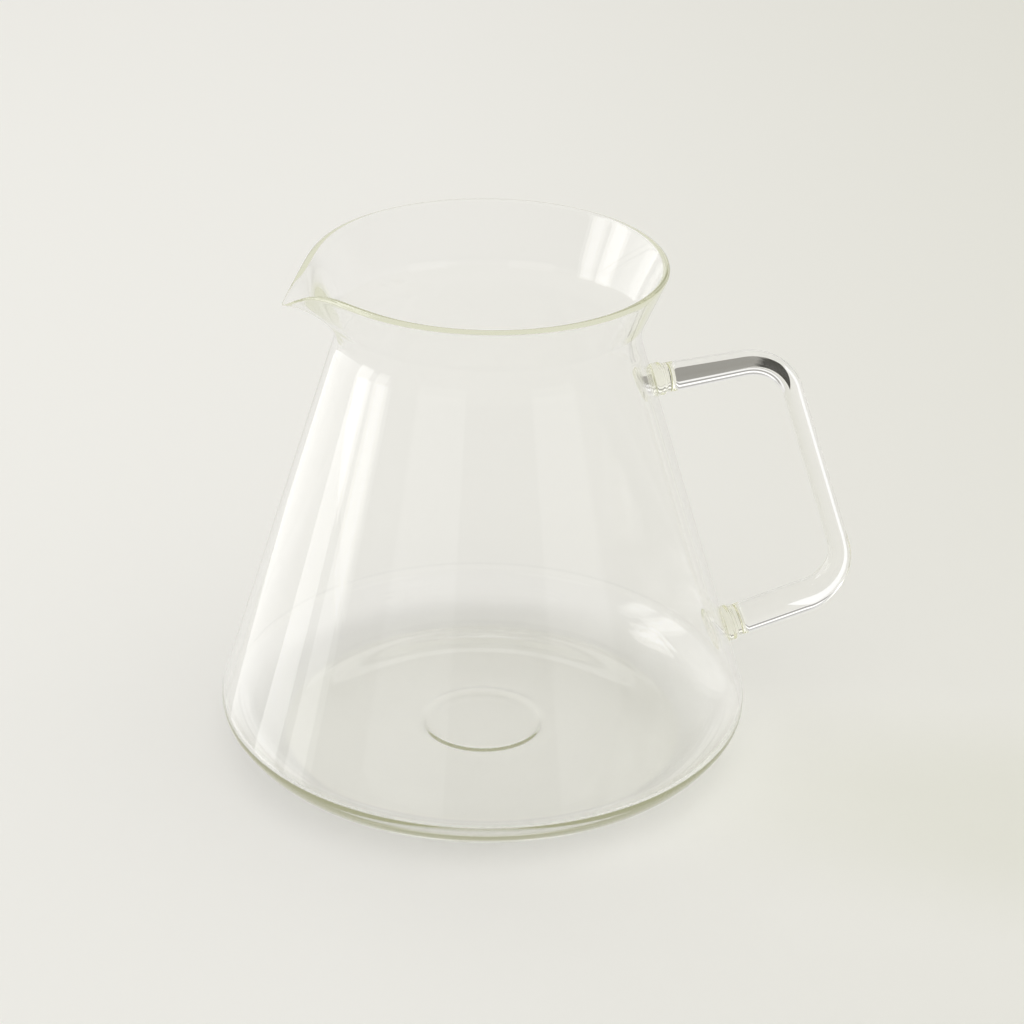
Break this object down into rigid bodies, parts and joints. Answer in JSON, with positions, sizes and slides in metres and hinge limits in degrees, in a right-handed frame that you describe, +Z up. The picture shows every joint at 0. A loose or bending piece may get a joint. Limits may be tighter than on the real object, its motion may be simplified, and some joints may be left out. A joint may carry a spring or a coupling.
{
  "type": "glass coffee server",
  "caption": "Clear glass coffee server: conical body, flared collar with a pouring lip, and a bent glass rod handle welded on.",
  "frame": {"origin": "on the vessel's axis, in the plane that its foot stands on", "axes": "+Z up along the vessel's axis, +X towards the handle, -X towards the pouring lip"},
  "size_m": [0.1489, 0.12, 0.116],
  "materials": {
    "vessel_glass": "clear blown borosilicate, polished",
    "rod_glass": "clear solid rod, fire-polished",
    "weld_glass": "clear flame-welded glass, slightly yellow in its depth"
  },
  "bodies": {
    "root": {"vessel": "vessel_glass", "handle_rod": "rod_glass", "upper_pad": "weld_glass", "upper_bead": "weld_glass", "lower_pad": "weld_glass", "lower_bead": "weld_glass"}
  },
  "joints": []
}
